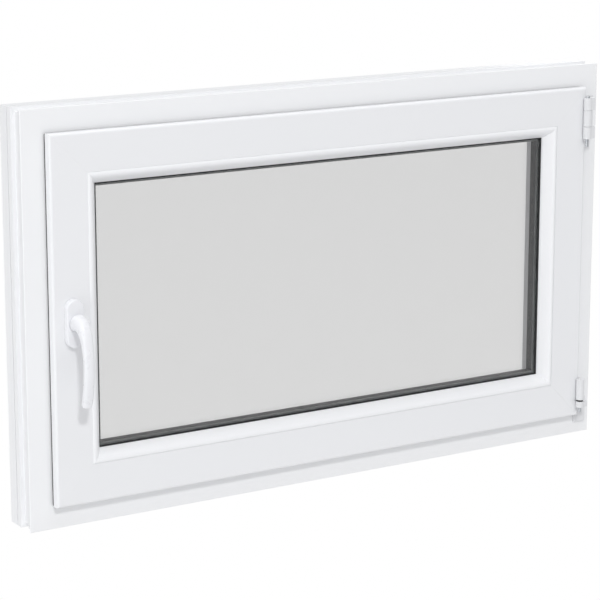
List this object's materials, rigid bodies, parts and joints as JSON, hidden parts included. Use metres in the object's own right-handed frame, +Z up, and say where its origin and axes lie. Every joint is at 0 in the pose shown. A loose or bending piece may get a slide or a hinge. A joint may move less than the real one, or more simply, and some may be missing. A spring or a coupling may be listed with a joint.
{
  "type": "casement window",
  "caption": "Side-hung casement window, white plastic frame and inward-opening sash with double glazing, lever handle and edge lock gear.",
  "frame": {"origin": "middle of the frame's bottom face, midway along its width and through its depth", "axes": "+X along the wall to the hinge side, as seen from the room; +Y out through the wall to the outdoors; +Z up"},
  "size_m": [1, 0.1387, 0.6],
  "materials": {
    "white_upvc": "smooth extruded white uPVC with a satin gloss",
    "white_painted_metal": "white powder coat over die-cast metal",
    "black_seal_rubber": "matt black EPDM",
    "zinc_plated_steel": "bright zinc plating over pressed steel",
    "clear_glass": "clear float glass",
    "dark_spacer": "matt dark warm-edge spacer",
    "edge_sealant_black": "dark grey edge sealant",
    "blue_packer_plastic": "blue moulded glazing packer"
  },
  "bodies": {
    "frame": {"frame_head": "white_upvc", "frame_sill": "white_upvc", "frame_left_jamb": "white_upvc", "frame_right_jamb": "white_upvc", "frame_steel_sill": "zinc_plated_steel", "frame_steel_right": "zinc_plated_steel", "frame_steel_head": "zinc_plated_steel", "frame_steel_left": "zinc_plated_steel", "frame_stop_seal": "black_seal_rubber", "drain_cap_left": "white_upvc", "drain_cap_right": "white_upvc", "lower_hinge_frame_leaf": "white_painted_metal", "lower_hinge_washer": "black_seal_rubber", "upper_hinge_frame_leaf": "white_painted_metal", "lower_hinge_pin": "zinc_plated_steel", "upper_hinge_pin": "zinc_plated_steel", "keep_left_upper": "zinc_plated_steel", "keep_left_lower": "zinc_plated_steel", "keep_head": "zinc_plated_steel", "keep_sill": "zinc_plated_steel"},
    "sash": {"sash_head": "white_upvc", "sash_sill": "white_upvc", "sash_left_stile": "white_upvc", "sash_right_stile": "white_upvc", "sash_steel_sill": "zinc_plated_steel", "sash_steel_right": "zinc_plated_steel", "sash_steel_head": "zinc_plated_steel", "sash_steel_left": "zinc_plated_steel", "bead_sill": "white_upvc", "bead_right": "white_upvc", "bead_head": "white_upvc", "bead_left": "white_upvc", "inner_glazing_seal": "black_seal_rubber", "outer_glazing_seal": "black_seal_rubber", "inner_pane": "clear_glass", "outer_pane": "clear_glass", "spacer_bar": "dark_spacer", "edge_sealant": "edge_sealant_black", "packer_sill_left": "blue_packer_plastic", "packer_sill_right": "blue_packer_plastic", "packer_hinge_side": "blue_packer_plastic", "packer_handle_side": "blue_packer_plastic", "lower_hinge_sash_leaf": "white_painted_metal", "upper_hinge_sash_leaf": "white_painted_metal", "sash_lip_seal": "black_seal_rubber", "faceplate_left": "zinc_plated_steel", "faceplate_head": "zinc_plated_steel", "faceplate_sill": "zinc_plated_steel", "corner_drive_top": "zinc_plated_steel", "corner_drive_bottom": "zinc_plated_steel", "rosette_base": "zinc_plated_steel", "rosette_cover": "white_painted_metal", "handle_screw_lower": "zinc_plated_steel", "handle_screw_upper": "zinc_plated_steel", "lock_gearbox": "zinc_plated_steel"},
    "handle": {"handle_lever": "white_painted_metal", "handle_spindle": "zinc_plated_steel"},
    "rod_side": {"lock_rod_left": "zinc_plated_steel"},
    "rod_top": {"lock_rod_head": "zinc_plated_steel"},
    "rod_bottom": {"lock_rod_sill": "zinc_plated_steel"}
  },
  "joints": [
    {"name": "sash_turn", "type": "hinge", "parent": "frame", "child": "sash", "pos_m": [0.4625, -0.0575, 0.3], "axis": [0, 0, 1], "range_deg": [0, 90]},
    {"name": "handle_turn", "type": "hinge", "parent": "sash", "child": "handle", "pos_m": [-0.4355, -0.05, 0.3], "axis": [0, -1, 0], "range_deg": [0, 90]},
    {"name": "rod_side_slide", "type": "slide", "parent": "sash", "child": "rod_side", "axis": [0, 0, 1], "range_m": [0, 0.018]},
    {"name": "rod_top_slide", "type": "slide", "parent": "sash", "child": "rod_top", "axis": [1, 0, 0], "range_m": [0, 0.018]},
    {"name": "rod_bottom_slide", "type": "slide", "parent": "sash", "child": "rod_bottom", "axis": [-1, 0, 0], "range_m": [0, 0.018]}
  ],
  "couplings": [
    {"joint": "rod_side_slide", "follows": "handle_turn", "m_per_rad": 0.01145},
    {"joint": "rod_top_slide", "follows": "handle_turn", "m_per_rad": 0.01145},
    {"joint": "rod_bottom_slide", "follows": "handle_turn", "m_per_rad": 0.01145}
  ]
}
